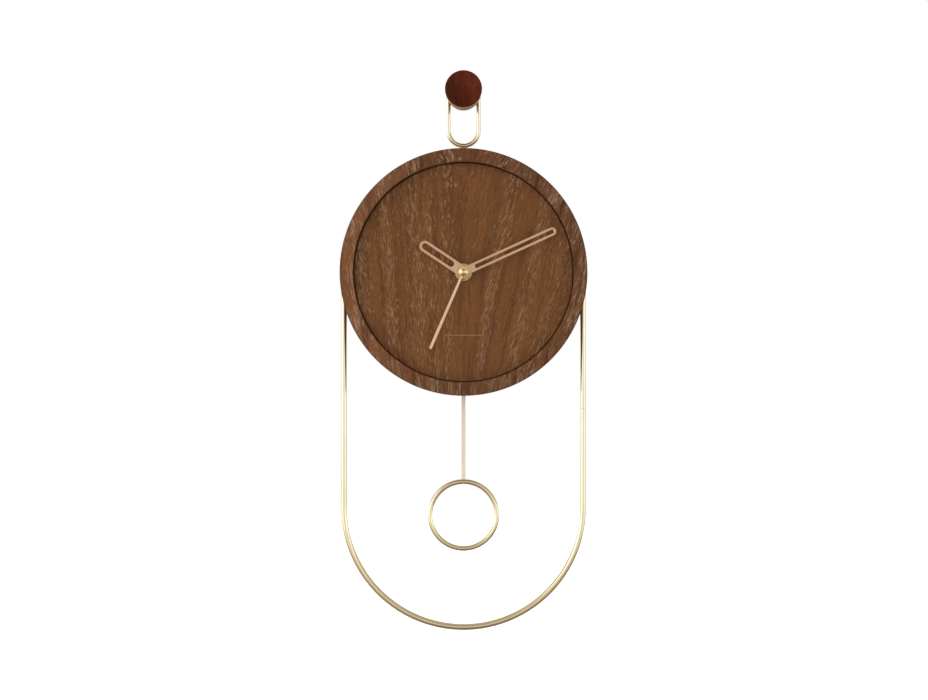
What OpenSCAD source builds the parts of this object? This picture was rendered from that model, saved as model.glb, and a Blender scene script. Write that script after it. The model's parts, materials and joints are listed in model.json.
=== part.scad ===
// Pendulum wall clock: a turned timber case on a slim brass frame that hangs
// from a turned timber knob. Z is up, the dial faces -Y, the wall is the plane
// Y = 0 and the origin is the middle of the knob's back face. Millimetres.

/* [Case] */
// Outside diameter of the timber case
case_d = 200; // [196:1:216]
// Width of the raised rim seen from the front
rim_width = 10.9; // [9.5:0.1:12]
// How far the rim stands in front of the dial
recess = 8; // [5:0.5:9]
// Depth from the middle of the knob down to the middle of the dial
dial_drop = 148; // [146:1:170]

/* [Wall knob] */
// Diameter of the knob's front face
knob_d = 30; // [28:0.5:38]
// How far the knob stands out from the wall
knob_length = 41; // [34:1:50]

/* [Frame] */
// Diameter of the brass tube
tube_d = 5; // [4.5:0.1:5]
// Middle of the dial down to the middle of the frame's lower bend
frame_drop = 192.6; // [180:0.1:230]
// Outside width of the small hanging loop
loop_width = 28.5; // [28:0.1:30]

/* [Pendulum] */
// Middle of the dial down to the middle of the pendulum ring
ring_drop = 198.8; // [170:0.2:215]
// Outside diameter of the pendulum ring
ring_d = 59; // [44:1:64]
// Width of the flat pendulum rod
rod_width = 3.2; // [2.4:0.1:4]

/* [Hands] */
// Middle of the dial to the tip of the hour hand
hour_length = 41.9; // [34:0.1:60]
// Middle of the dial to the tip of the minute hand
minute_length = 82; // [60:0.1:84]
// Middle of the dial to the tip of the second hand
second_length = 67.8; // [50:0.1:84]
// Hour hand, degrees clockwise from twelve
hour_angle = 303.7; // [0:0.1:360]
// Minute hand, degrees clockwise from twelve
minute_angle = 65.5; // [0:0.1:360]
// Second hand, degrees clockwise from twelve
second_angle = 203.4; // [0:0.1:360]

/* [Hidden] */

$fn = 96;

// Depths are distances from the wall.
case_back = 5.2;
dial_back = 31;
dial_front = 35;
case_front = dial_front + recess;
frame_z = 8;

case_r = case_d / 2;
rim_r = case_r - rim_width;
dial_r = rim_r - 0.5;
ledge_r = rim_r - 7.1;
cavity_r = case_r - 12;
cavity_front = dial_back - 4;

// The frame's upper bend sits a little above the middle of the dial.
frame_lift = 2.4;
frame_r = case_r - 1.6;
tube_r = tube_d / 2;
tube_wall = 0.8;
rabbet_gap = 0.3;
rabbet_r = frame_r - tube_r - rabbet_gap;
rabbet_front = frame_z + tube_r + rabbet_gap;
rabbet_foot = 28;
joint_drop = 111.3;
joint_gap = 0.5;

stud_r = 2;
insert_back = 0.4;
neck_r = 9.5;
neck_back = 5;
neck_front = 12;
loop_wire_r = 1.85;
loop_r = loop_width / 2 - loop_wire_r;
// The loop's top bears on the neck, its foot is brazed to the frame.
loop_top = neck_r + 0.05 - (loop_r - loop_wire_r);
frame_top = -dial_drop + frame_lift + frame_r + tube_r;
loop_foot = frame_top + loop_width / 2 - 0.15;

// Holding screws and clips round the back of the case
clip_angles = [35, 72, 108, 145];
clip_r = case_r - 7.6;
clip_screw_r = 1.5;
dial_screw_angles = [45, 135, 225, 315];
dial_screw_r = 1;
dial_screw_ring = (ledge_r + cavity_r) / 2;
bumper_angles = [90, 235, 305];
bumper_ring = case_r - 8;
notch_half = 15;

// Movement housing, measured from the middle of the dial
cover_back = 13;
cover_front = 14.4;
house_front = 30;
house_wall = 1.2;
house_half = 28;
house_top = 28;
house_foot = -29;
bay_top = -12.4;
bay_foot = house_foot + house_wall;
tail_half = 18;
tail_foot = -72;
tail_front = 24;
plate_back = 20.6;
plate_front = 21.6;
stator_back = 17.8;
stator_front = 18.5;

// Arbors and their fits
pivot_r = 0.6;
pivot_hole_r = 0.65;
second_arbor_r = 0.9;
minute_tube_r = 1.95;
hour_tube_r = 2.8;
bush_r = 4;
bush_bore = 2.9;
nut_seat_r = 6.9;
washer_t = 0.6;
fit = 0.05;

// Going train: teeth and modules, then where each arbor stands
rotor_teeth = 10;
inter_teeth = 60;
inter_leaves = 12;
second_teeth = 60;
second_leaves = 8;
third_teeth = 60;
third_leaves = 8;
centre_teeth = 64;
cannon_leaves = 12;
reverse_teeth = 36;
reverse_leaves = 12;
hour_teeth = 48;
setting_leaves = 18;
rotor_module = 0.3;
fine_module = 0.34;
third_module = 0.36;
cannon_module = 0.5;
hour_module = 0.4;

function polar(r, a) = [r * cos(a), r * sin(a)];
function apart(m, n1, n2) = m * (n1 + n2) / 2;
function arc(c, r, a0, a1, steps) =
    [for (i = [0:steps]) c + polar(r, a0 + (a1 - a0) * i / steps)];

inter_at = polar(apart(fine_module, inter_leaves, second_teeth), 165);
rotor_at = inter_at + polar(apart(rotor_module, rotor_teeth, inter_teeth), 70);
third_at = polar(apart(third_module, second_leaves, third_teeth), 40);
reverse_at = polar(apart(cannon_module, cannon_leaves, reverse_teeth), 140);
setting_at = reverse_at + polar(apart(cannon_module, reverse_teeth, setting_leaves), 120);

// Tooth direction of the second gear so that it meshes with the first, whose
// tooth direction is p1 and which sees the second in the direction a.
function meshed(p1, n1, n2, a) = a + 180 - (p1 - a) * n1 / n2 + 180 / n2;

inter_leaf_turn = meshed(0, second_teeth, inter_leaves, 165);
rotor_turn = meshed(0, inter_teeth, rotor_teeth, 70);
third_turn = meshed(0, second_leaves, third_teeth, 40);
centre_turn = meshed(0, third_leaves, centre_teeth, 220);
reverse_turn = meshed(0, cannon_leaves, reverse_teeth, 140);
setting_turn = meshed(reverse_turn, reverse_teeth, setting_leaves, 120);
hour_turn = meshed(0, reverse_leaves, hour_teeth, 320);

motor_y = 23.2;
motor_z = 18.9;
motor_left = -3;
motor_right = 19;
battery_y = (bay_top + bay_foot) / 2;
battery_z = 21;
battery_r = 7.25;
battery_half = 25.25;

swing_y = -36;
drive_y = -60;
hook_y = -72;

post_x = 23.4;
post_y = [-8.6, 15.2];
board_post_x = 11;
board_top = -34;
board_foot = -50;
board_back = 16;
board_front = 17;

wood = [0.42, 0.28, 0.17];
dark_wood = [0.32, 0.14, 0.10];
brass = [0.83, 0.72, 0.48];
steel = [0.72, 0.72, 0.74];
champagne = [0.80, 0.67, 0.54];
black = [0.10, 0.10, 0.11];
white = [0.88, 0.88, 0.86];
copper = [0.75, 0.42, 0.22];
green = [0.12, 0.36, 0.22];
red = [0.65, 0.12, 0.10];
grey = [0.35, 0.36, 0.38];

// Local frame: x right, y up, z out from the wall.
module on_wall() {
    rotate([90, 0, 0]) children();
}

module on_dial() {
    rotate([90, 0, 0]) translate([0, -dial_drop, 0]) children();
}

module rod(r, z0, z1) {
    translate([0, 0, z0]) cylinder(r = r, h = z1 - z0);
}

module slab(x0, x1, y0, y1, z0, z1) {
    translate([x0, y0, z0]) cube([x1 - x0, y1 - y0, z1 - z0]);
}

module around(angles, r) {
    for (a = angles) rotate([0, 0, a]) translate([r, 0, 0]) children();
}

// Flat plate with rounded corners.
module plate(x0, x1, y0, y1, z0, z1, r) {
    pts = concat(
        arc([x1 - r, y1 - r], r, 0, 90, 6),
        arc([x0 + r, y1 - r], r, 90, 180, 6),
        arc([x0 + r, y0 + r], r, 180, 270, 6),
        arc([x1 - r, y0 + r], r, 270, 360, 6));
    translate([0, 0, z0]) linear_extrude(height = z1 - z0) polygon(pts);
}

// Gear wheel with straight-flanked teeth; turn is the direction of one tooth.
module gear(m, n, z0, z1, turn) {
    pitch_r = m * n / 2;
    step = 360 / n;
    pts = [for (i = [0:n - 1]) for (k = [0:3])
        let (side = k < 2 ? -1 : 1)
        let (tip = k == 1 || k == 2)
        let (half = tip ? 0.11 : 0.27)
        let (r = tip ? pitch_r + 0.9 * m : pitch_r - 1.15 * m)
        polar(r, turn + step * (i + side * half))];
    translate([0, 0, z0]) linear_extrude(height = z1 - z0) polygon(pts);
}

// Spoke openings that lighten a wheel.
module spoke_holes(hole_r, ring_r, count, z0, z1) {
    for (i = [0:count - 1]) rotate([0, 0, 360 / count * (i + 0.5)])
        translate([ring_r, 0, 0]) rod(hole_r, z0 - 1, z1 + 1);
}

// Straight bar with round ends, from y0 to y1 overall.
module bar(w, y0, y1) {
    translate([-w / 2, y0 + w / 2]) square([w, y1 - y0 - w]);
    translate([0, y0 + w / 2]) circle(r = w / 2);
    translate([0, y1 - w / 2]) circle(r = w / 2);
}

module hand(angle, z0, z1) {
    rotate([0, 0, -angle]) translate([0, 0, z0])
        linear_extrude(height = z1 - z0) children();
}

module knob() {
    head_back = neck_front + 1.5;
    head_r = knob_d / 2 - 0.7;
    face_r = knob_d / 2;
    edge = 0.9;
    dish = 1.6;
    dish_r = face_r - 2.2;
    bowl = (dish_r * dish_r + dish * dish) / (2 * dish);
    bowl_half = asin(dish_r / bowl);
    pts = concat(
        [[3.5, 0], [13, 0]],
        arc([12.2, 3.2], 0.8, 0, 90, 4),
        arc([neck_r + 1, neck_back], 1, 270, 180, 4),
        arc([neck_r + 1, neck_front], 1, 180, 90, 4),
        arc([head_r - 1, head_back + 0.5], 1, 300, 360, 4),
        arc([face_r - edge, knob_length - edge], edge, 0, 90, 6),
        arc([0, knob_length - dish + bowl], bowl, 270 + bowl_half, 270, 10),
        [[0, 13], [3.5, 13]]);
    color(dark_wood) on_wall() rotate_extrude() polygon(pts);
}

module knob_insert() {
    color(brass) on_wall() difference() {
        rod(3.5, insert_back, 13);
        rod(stud_r, -1, 12);
    }
}

module hanger_screw() {
    shank_r = 2.5;
    crest_r = 2.45;
    root_r = 1.8;
    shank = 12;
    pitch = 2.2;
    turns = 8;
    taper = 3;
    pts = concat(
        [[0, 12], [stud_r - 0.4, 12], [stud_r, 11.6], [stud_r, 0], [shank_r, 0],
         [shank_r, -shank]],
        [for (i = [0:turns - 1]) for (k = [0:1])
            [k == 0 ? root_r : crest_r - 0.45 * max(0, i - turns + 1 + taper),
             -shank - pitch * (i + (k + 1) / 2)]],
        [[0, -34]]);
    color(steel) on_wall() rotate_extrude() polygon(pts);
}

module hanging_loop() {
    color(brass) on_wall() translate([0, 0, frame_z]) {
        translate([0, loop_top, 0]) rotate_extrude(angle = 180)
            translate([loop_r, 0]) circle(r = loop_wire_r);
        translate([0, loop_foot, 0]) rotate([0, 0, 180]) rotate_extrude(angle = 180)
            translate([loop_r, 0]) circle(r = loop_wire_r);
        for (s = [-1, 1]) translate([s * loop_r, loop_foot, 0]) rotate([-90, 0, 0])
            cylinder(r = loop_wire_r, h = loop_top - loop_foot);
    }
}

// One straight length of the frame tube, from y0 up to y1.
module tube(x, y0, y1) {
    translate([x, y0, 0]) rotate([-90, 0, 0]) difference() {
        cylinder(r = tube_r, h = y1 - y0);
        translate([0, 0, -1]) cylinder(r = tube_r - tube_wall, h = y1 - y0 + 2);
    }
}

module bend() {
    rotate_extrude(angle = 180) translate([frame_r, 0]) difference() {
        circle(r = tube_r);
        circle(r = tube_r - tube_wall);
    }
}

module frame_tube() {
    color(brass) on_dial() translate([0, 0, frame_z]) {
        translate([0, frame_lift, 0]) bend();
        translate([0, -frame_drop, 0]) rotate([0, 0, 180]) bend();
        tube(-frame_r, -frame_drop, frame_lift);
        tube(frame_r, -frame_drop, -joint_drop - joint_gap / 2);
        tube(frame_r, -joint_drop + joint_gap / 2, frame_lift);
    }
}

module frame_joint_pin() {
    color(steel) on_dial() translate([frame_r, -joint_drop - 10, frame_z])
        rotate([-90, 0, 0]) cylinder(r = tube_r - tube_wall, h = 20);
}

module frame_clips() {
    color(steel) on_dial() around(clip_angles, clip_r) difference() {
        plate(-3.6, 8.4, -4, 4, 4, case_back, 1.5);
        rod(clip_screw_r + 0.1, 3, 7);
    }
}

module clip_screws() {
    color(steel) on_dial() around(clip_angles, clip_r) {
        difference() {
            rod(2.8, 2.8, 4);
            slab(-3.5, 3.5, -0.35, 0.35, 2, 3.4);
        }
        rod(clip_screw_r, 4, 14);
    }
}

module case_ring() {
    pts = concat(
        [[cavity_r, case_back], [case_r - 0.5, case_back], [case_r, case_back + 0.5]],
        arc([case_r - 1.2, case_front - 1.2], 1.2, 0, 90, 5),
        arc([rim_r + 0.9, case_front - 0.9], 0.9, 90, 180, 5),
        [[rim_r, dial_back], [cavity_r, dial_back]]);
    color(wood) on_dial() difference() {
        rotate_extrude() polygon(pts);
        translate([0, frame_lift, 0]) rotate_extrude(angle = 180)
            translate([rabbet_r, 0]) square([tube_d + 4, rabbet_front]);
        for (s = [-1, 1]) scale([s, 1, 1])
            slab(rabbet_r, case_r + 4, -rabbet_foot, frame_lift + 0.5, 0, rabbet_front);
        slab(-notch_half, notch_half, -case_r - 1, -cavity_r + 3, 0, 12);
        around(clip_angles, clip_r) rod(clip_screw_r, 4, 14);
    }
}

module dial_ledge() {
    color(wood) on_dial() difference() {
        ring_washer(cavity_r, ledge_r, cavity_front, dial_back);
        around(dial_screw_angles, dial_screw_ring) rod(dial_screw_r + 0.2, 26, 32);
    }
}

module dial_board() {
    arris = 0.4;
    color(wood) on_dial() difference() {
        union() {
            rod(dial_r, dial_back, dial_front - arris);
            translate([0, 0, dial_front - arris])
                cylinder(r1 = dial_r, r2 = dial_r - arris, h = arris);
        }
        rod(bush_r + 0.1, dial_back - 1, dial_front + 1);
        around(dial_screw_angles, dial_screw_ring) rod(dial_screw_r, 30, 34);
    }
}

module dial_screws() {
    color(steel) on_dial() around(dial_screw_angles, dial_screw_ring) {
        difference() {
            rod(1.9, cavity_front - 1.3, cavity_front);
            slab(-3, 3, -0.3, 0.3, cavity_front - 2, cavity_front - 0.7);
        }
        rod(dial_screw_r, cavity_front, 34);
    }
}

module wall_bumpers() {
    color(grey) on_dial() around(bumper_angles, bumper_ring) {
        rod(4, 1, case_back);
        translate([0, 0, 0.3]) cylinder(r1 = 3.4, r2 = 4, h = 0.7);
    }
}

module ring_washer(r, bore, z0, z1) {
    difference() {
        rod(r, z0, z1);
        rod(bore, z0 - 1, z1 + 1);
    }
}

module rubber_washer() {
    color(black) on_dial() ring_washer(9.5, bush_r + 0.2, house_front, dial_back);
}

module dial_washer() {
    color(brass) on_dial()
        ring_washer(nut_seat_r, bush_r + 0.1, dial_front, dial_front + washer_t);
}

// Hexagon nut with chamfered corners.
module dial_nut() {
    flats = 11.8;
    corner_r = 6.6;
    chamfer = 0.7;
    z0 = dial_front + washer_t;
    z1 = dial_front + 3;
    pts = [[bush_r, z0], [corner_r, z0], [corner_r, z1 - chamfer],
        [corner_r - 1.6 * chamfer, z1], [bush_r + 0.4, z1], [bush_r, z1 - 0.4]];
    color(brass) on_dial() intersection() {
        rotate_extrude() polygon(pts);
        rotate([0, 0, 20]) translate([0, 0, z0 - 1])
            cylinder(r = flats / 2 / cos(30), h = 6, $fn = 6);
    }
}

module centre_bush() {
    color(brass) on_dial()
        ring_washer(bush_r, bush_bore, house_front - house_wall, dial_front + 3.6);
}

// Front half of the housing: train chamber, battery bay and tail.
module movement_front() {
    inner = house_half - house_wall;
    floor_z = house_front - house_wall;
    tail_floor = tail_front - house_wall;
    color(black) on_dial() difference() {
        union() {
            difference() {
                union() {
                    plate(-house_half, house_half, house_foot, house_top,
                        cover_front, house_front, 3);
                    plate(-tail_half, tail_half, tail_foot, house_foot + 5,
                        cover_front, tail_front, 3);
                }
                slab(-inner, inner, bay_top + 0.9, house_top - house_wall, 0, floor_z);
                slab(-inner, inner, bay_foot, bay_top, 0, floor_z);
                slab(-tail_half + house_wall, tail_half - house_wall,
                    tail_foot + house_wall, house_foot, 0, tail_floor);
            }
            for (s = [-1, 1]) for (y = post_y) translate([s * post_x, y, 0]) {
                rod(1.8, plate_front, floor_z + 0.5);
                rod(1, plate_back + 0.2, plate_front + 0.5);
            }
            for (s = [-1, 1]) translate([s * board_post_x, board_foot + 4, 0])
                rod(1.5, board_front, tail_floor + 0.5);
            translate([0, drive_y, 0]) {
                rod(3, 20, tail_floor + 0.5);
                rod(1.45, 15.5, 20.5);
            }
        }
        rod(bush_r, floor_z - 1, house_front + 1);
        for (p = [third_at, reverse_at, setting_at]) translate(p)
            rod(pivot_hole_r, floor_z - 1, house_front - 0.2);
    }
}

module movement_back() {
    inner = house_half - house_wall;
    color(black) on_dial() difference() {
        union() {
            plate(-house_half, house_half, house_foot, house_top, cover_back, cover_front, 3);
            plate(-tail_half, tail_half, tail_foot, house_foot + 5, cover_back, cover_front, 3);
            for (p = [[-7.5, motor_y], [22, motor_y]]) translate(p)
                rod(1.4, cover_front - 0.4, stator_back);
        }
        slab(-inner, inner, bay_foot, bay_top, 0, cover_front + 1);
        for (p = [[0, 0], inter_at, rotor_at, third_at]) translate(p)
            rod(pivot_hole_r, cover_back + 0.5, cover_front + 1);
        translate(setting_at) rod(1.25 + fit, 0, cover_front + 1);
        translate([0, swing_y, 0]) rod(1, 0, cover_front + 1);
    }
}

module train_plate() {
    color(white) on_dial() difference() {
        plate(-25.6, 25.6, -10.9, 17.4, plate_back, plate_front, 1.5);
        for (p = [inter_at, rotor_at]) translate(p) rod(pivot_hole_r, 18, 24);
        for (p = [[0, 0], third_at]) translate(p) rod(second_arbor_r + fit, 18, 24);
        translate(reverse_at) rod(0.5 + fit, 18, 24);
        for (s = [-1, 1]) for (y = post_y) translate([s * post_x, y, 0]) rod(1, 18, 24);
    }
}

module stator() {
    color(steel) on_dial() {
        difference() {
            union() {
                translate(rotor_at) rod(5.6, stator_back, stator_front);
                slab(-10.6, -4.6, rotor_at[1], 26, stator_back, stator_front);
                slab(rotor_at[0], 24.4, 13.4, 17.2, stator_back, stator_front);
                slab(20.6, 24.4, 13.4, 26, stator_back, stator_front);
            }
            translate(rotor_at) rod(3.5, 17, 20);
        }
        slab(-10, 24, motor_y - 1.6, motor_y + 1.6, stator_front, motor_z + 0.4);
    }
}

// Something turned, lying along x between x0 and x1 on the motor's axis.
module on_motor(x0) {
    translate([x0, motor_y, motor_z]) rotate([0, 90, 0]) children();
}

module motor_bobbin() {
    span = motor_right - motor_left;
    color(white) on_dial() on_motor(motor_left) difference() {
        union() {
            rod(3.5, 0, 0.8);
            rod(2.4, 0, span);
            rod(3.5, span - 0.8, span);
        }
        rod(1.8, -1, span + 1);
    }
}

module motor_coil() {
    span = motor_right - motor_left - 1.6;
    color(copper) on_dial() on_motor(motor_left + 0.8) ring_washer(3.3, 2.4, 0, span);
}

module circuit_board() {
    color(green) on_dial() difference() {
        slab(-14, 14, board_foot, board_top, board_back, board_front);
        for (s = [-1, 1]) translate([s * 12, board_top - 2, 0]) rod(0.8, 15, 18);
    }
}

module quartz_crystal() {
    color(steel) on_dial() translate([-7, board_top - 4, board_front + 1])
        rotate([0, 90, 0]) {
            rod(1, 0, 6.2);
            rod(0.3, -1.5, 0.5);
        }
}

module ic_chip() {
    color(black) on_dial() translate([3, board_foot + 5.5, board_front])
        rotate_extrude() polygon(concat([[0, 0]], arc([0, -2.4], 4, 37, 90, 6)));
}

// Leaf that presses on one end of the cell.
module contact(side) {
    on_dial() scale([side, 1, 1]) {
        slab(26.4, 26.7, battery_y - 4, battery_y + 4, 15, 27.5);
        slab(25.7, 26.5, battery_y - 2, battery_y + 2, battery_z - 2, battery_z + 2);
        slab(26.4, 26.7, battery_y - 7, battery_y - 3, 15, 17.4);
    }
}

module contact_plus() {
    color(steel) contact(1);
}

module contact_minus() {
    color(steel) contact(-1);
}

module pendulum_bobbin() {
    color(white) on_dial() translate([0, drive_y, 0]) difference() {
        union() {
            rod(6.8, 14.6, 15.2);
            rod(2.2, 14.6, 20);
            rod(6.8, 19.4, 20);
        }
        rod(1.5, 14, 21);
    }
}

module pendulum_coil() {
    color(copper) on_dial() translate([0, drive_y, 0]) ring_washer(6.4, 2.2, 15.2, 19.4);
}

module pendulum_pin() {
    color(steel) on_dial() translate([0, swing_y, 0]) {
        rod(1, 8.4, 14.2);
        rod(1.7, 7.8, 8.6);
    }
}

module battery_cell() {
    edge = 0.8;
    r = battery_r;
    h = battery_half;
    pts = [[0, -h], [4.5, -h], [4.5, -h + 0.3], [r - edge, -h + 0.3], [r, -h + 0.3 + edge],
        [r, h - 1.4 - edge], [r - edge, h - 1.4], [3, h - 1.4], [2.75, h], [0, h]];
    color(red) on_dial() translate([0, battery_y, battery_z]) rotate([0, 90, 0])
        rotate_extrude() polygon(pts);
}

module rotor_pinion() {
    color(white) on_dial() translate(rotor_at) {
        rod(pivot_r, 13.7, 21.3);
        gear(rotor_module, rotor_teeth, 14.9, 16.3, rotor_turn);
        rod(1.4, 16.3, 17);
    }
}

module rotor_magnet() {
    color(grey) on_dial() translate(rotor_at) ring_washer(3, pivot_r, 17, 20);
}

module intermediate_wheel() {
    color(white) on_dial() translate(inter_at) {
        rod(pivot_r, 13.7, 21.3);
        difference() {
            gear(rotor_module, inter_teeth, 15.2, 16, 0);
            spoke_holes(2, 5.2, 4, 15, 16);
        }
        gear(fine_module, inter_leaves, 16, 18, inter_leaf_turn);
    }
}

module second_wheel() {
    color(brass) on_dial() {
        rod(pivot_r, 13.7, 15);
        rod(second_arbor_r, 14.9, 43.4);
        difference() {
            gear(fine_module, second_teeth, 16.7, 17.4, 0);
            spoke_holes(2.5, 6, 4, 16, 18);
        }
        gear(third_module, second_leaves, 17.4, 20.2, 0);
    }
}

module second_hand() {
    color(champagne) on_dial() difference() {
        hand(second_angle, 42.2, 42.8) {
            circle(r = 2.2);
            polygon([[-0.95, 0], [0.95, 0], [1.2, second_length - 1.2],
                [-1.2, second_length - 1.2]]);
            translate([0, second_length - 1.2]) circle(r = 1.2);
        }
        rod(second_arbor_r, 42, 43);
    }
}

module second_cap() {
    dome = 5.6;
    half = asin(4 / dome);
    pts = concat([[second_arbor_r, 42.8], [3.9, 42.8]],
        arc([0, 44.4 - dome], dome, 90 - half, 90, 6),
        [[0, 43.4], [second_arbor_r, 43.4]]);
    color(brass) on_dial() rotate_extrude() polygon(pts);
}

module third_wheel() {
    color(white) on_dial() translate(third_at) {
        rod(pivot_r, 13.7, 15.1);
        rod(second_arbor_r, 15, 28.5);
        rod(pivot_r, 28.4, 29.6);
        difference() {
            gear(third_module, third_teeth, 18.9, 19.6, third_turn);
            spoke_holes(2.5, 6.2, 4, 18, 20);
        }
        gear(fine_module, third_leaves, 21.9, 24.4, 0);
    }
}

module centre_wheel() {
    color(white) on_dial() difference() {
        gear(fine_module, centre_teeth, 22.8, 23.5, centre_turn);
        rod(minute_tube_r + fit, 22, 24);
        spoke_holes(2.5, 6.8, 4, 22, 24);
    }
}

module clutch_spring() {
    color(steel) on_dial() ring_washer(3.8, minute_tube_r + fit, 23.5, 24.3);
}

module minute_arbor() {
    color(brass) on_dial() difference() {
        union() {
            rod(3, 21.9, 22.5);
            rod(minute_tube_r, 21.9, 41.9);
            gear(cannon_module, cannon_leaves, 24.6, 26.2, 0);
        }
        rod(second_arbor_r + fit, 20, 43);
    }
}

module minute_hand() {
    width = 6.9;
    slot = 2.95;
    color(champagne) on_dial() difference() {
        hand(minute_angle, 40.8, 41.6) difference() {
            bar(width, -width / 2, minute_length);
            translate([-slot / 2, 10.4]) square([slot, minute_length - 12.7]);
        }
        rod(minute_tube_r, 40, 42);
    }
}

module reverse_wheel() {
    color(white) on_dial() translate(reverse_at) {
        rod(0.5, 20.8, 25.1);
        rod(pivot_r, 28.1, 29.6);
        gear(cannon_module, reverse_teeth, 25, 25.8, reverse_turn);
        gear(hour_module, reverse_leaves, 25.8, 28.2, 0);
    }
}

module hour_wheel() {
    color(white) on_dial() difference() {
        union() {
            gear(hour_module, hour_teeth, 26.9, 27.9, hour_turn);
            rod(hour_tube_r, 26.9, 40.4);
        }
        rod(minute_tube_r + fit, 26, 41);
    }
}

module hour_hand() {
    width = 9.1;
    wall = 2.1;
    color(champagne) on_dial() difference() {
        hand(hour_angle, 39.2, 40) difference() {
            bar(width, -width / 2, hour_length);
            bar(width - 2 * wall, 9.6, hour_length - wall);
        }
        rod(hour_tube_r, 39, 41);
    }
}

module setting_knob() {
    ridges = 24;
    color(white) on_dial() translate(setting_at) {
        gear(0.5, ridges, 9.4, 12.6, 0);
        rod(1.25, 12.5, 28.5);
        rod(pivot_r, 28.4, 29.6);
        gear(cannon_module, setting_leaves, 24.6, 26.2, setting_turn);
    }
}

module pendulum_hanger() {
    color(white) on_dial() difference() {
        union() {
            translate([0, swing_y, 0]) rod(3.2, 9.2, 12.6);
            slab(-3, 3, hook_y - 3, swing_y, 9.6, 11);
            translate([0, drive_y, 0]) rod(6, 9.6, 12.6);
            translate([0, hook_y, 0]) {
                rod(0.9, 6.6, 10);
                rod(1.7, 6.2, 7);
            }
        }
        translate([0, swing_y, 0]) rod(1 + fit, 9, 13);
        translate([0, drive_y, 0]) rod(5, 10.4, 13);
    }
}

module pendulum_magnet() {
    color(grey) on_dial() translate([0, drive_y, 0]) rod(5, 10.4, 12.6);
}

module pendulum_rod() {
    foot = -ring_drop + ring_d / 2 - 2.2;
    color(brass) on_dial() difference() {
        union() {
            translate([0, hook_y, 0]) rod(3.2, 7.6, 8.4);
            slab(-rod_width / 2, rod_width / 2, foot, hook_y, 7.6, 8.4);
        }
        translate([0, hook_y, 0]) rod(0.9, 7, 9);
    }
}

module pendulum_ring() {
    wire_r = 2;
    mid_r = ring_d / 2 - wire_r;
    color(brass) on_dial() translate([0, -ring_drop, 0]) difference() {
        translate([0, 0, frame_z]) rotate_extrude() translate([mid_r, 0]) circle(r = wire_r);
        slab(-rod_width / 2, rod_width / 2, ring_d / 2 - 2.2, ring_d, 7.6, 8.4);
        slab(-0.1, 0.1, ring_d / 2 - 5, ring_d, 8, 12);
    }
}

knob();
knob_insert();
hanger_screw();
hanging_loop();
frame_tube();
frame_joint_pin();
frame_clips();
clip_screws();
case_ring();
dial_ledge();
dial_board();
dial_screws();
wall_bumpers();
rubber_washer();
dial_washer();
dial_nut();
centre_bush();
movement_front();
movement_back();
train_plate();
stator();
motor_bobbin();
motor_coil();
circuit_board();
quartz_crystal();
ic_chip();
contact_plus();
contact_minus();
pendulum_bobbin();
pendulum_coil();
pendulum_pin();
battery_cell();
rotor_pinion();
rotor_magnet();
intermediate_wheel();
second_wheel();
second_hand();
second_cap();
third_wheel();
centre_wheel();
clutch_spring();
minute_arbor();
minute_hand();
reverse_wheel();
hour_wheel();
hour_hand();
setting_knob();
pendulum_hanger();
pendulum_magnet();
pendulum_rod();
pendulum_ring();
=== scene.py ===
import json
import math

import bmesh
import bpy
from mathutils import Matrix, Vector


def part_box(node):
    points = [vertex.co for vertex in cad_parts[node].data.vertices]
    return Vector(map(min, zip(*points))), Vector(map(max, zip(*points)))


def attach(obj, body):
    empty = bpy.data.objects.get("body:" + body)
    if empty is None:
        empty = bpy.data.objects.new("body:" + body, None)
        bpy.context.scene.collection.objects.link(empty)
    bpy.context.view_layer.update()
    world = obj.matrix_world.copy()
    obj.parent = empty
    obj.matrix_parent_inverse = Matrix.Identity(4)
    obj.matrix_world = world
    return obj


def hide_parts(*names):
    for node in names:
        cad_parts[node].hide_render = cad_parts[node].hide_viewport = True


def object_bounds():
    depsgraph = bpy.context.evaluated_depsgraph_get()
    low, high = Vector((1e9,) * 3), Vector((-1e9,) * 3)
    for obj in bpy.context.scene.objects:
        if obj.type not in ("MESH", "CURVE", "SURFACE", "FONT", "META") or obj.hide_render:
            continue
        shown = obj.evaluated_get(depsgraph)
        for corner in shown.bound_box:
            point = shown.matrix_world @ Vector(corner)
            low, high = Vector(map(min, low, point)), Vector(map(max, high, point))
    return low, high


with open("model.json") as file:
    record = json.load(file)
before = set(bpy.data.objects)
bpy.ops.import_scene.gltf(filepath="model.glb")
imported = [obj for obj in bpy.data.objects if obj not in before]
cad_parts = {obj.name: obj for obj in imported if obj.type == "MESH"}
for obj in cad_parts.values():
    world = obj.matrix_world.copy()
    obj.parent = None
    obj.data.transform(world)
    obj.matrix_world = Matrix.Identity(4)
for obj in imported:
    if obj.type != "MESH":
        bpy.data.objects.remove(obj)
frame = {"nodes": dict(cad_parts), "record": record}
cad_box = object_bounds()
nodes = frame["nodes"]

MM = 0.001


def middle(node):
    """Middle of a node's box."""
    low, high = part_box(node)
    return (Vector(low) + Vector(high)) / 2


DIAL = middle("dial_board")
DIAL_X, DIAL_Z = DIAL.x, DIAL.z
DIAL_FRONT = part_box("dial_board")[0][1]
CASE_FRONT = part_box("case_ring")[0][1]
KNOB_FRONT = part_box("knob")[0][1]
CELL_BAND = middle("battery_cell").x + 0.0135
# Radii just outside the case's inner wall and just inside its outer wall.
CASE_WALLS = (0.0893, 0.0993)
BAND_RADIUS = 0.1


# ---------------------------------------------------------------- materials

def tone(red, green, blue):
    """Linear colour of a display colour given in steps of 0 to 255."""
    steps = (c / 255 for c in (red, green, blue))
    return tuple(c / 12.92 if c <= 0.04045 else ((c + 0.055) / 1.055) ** 2.4 for c in steps)


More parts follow.
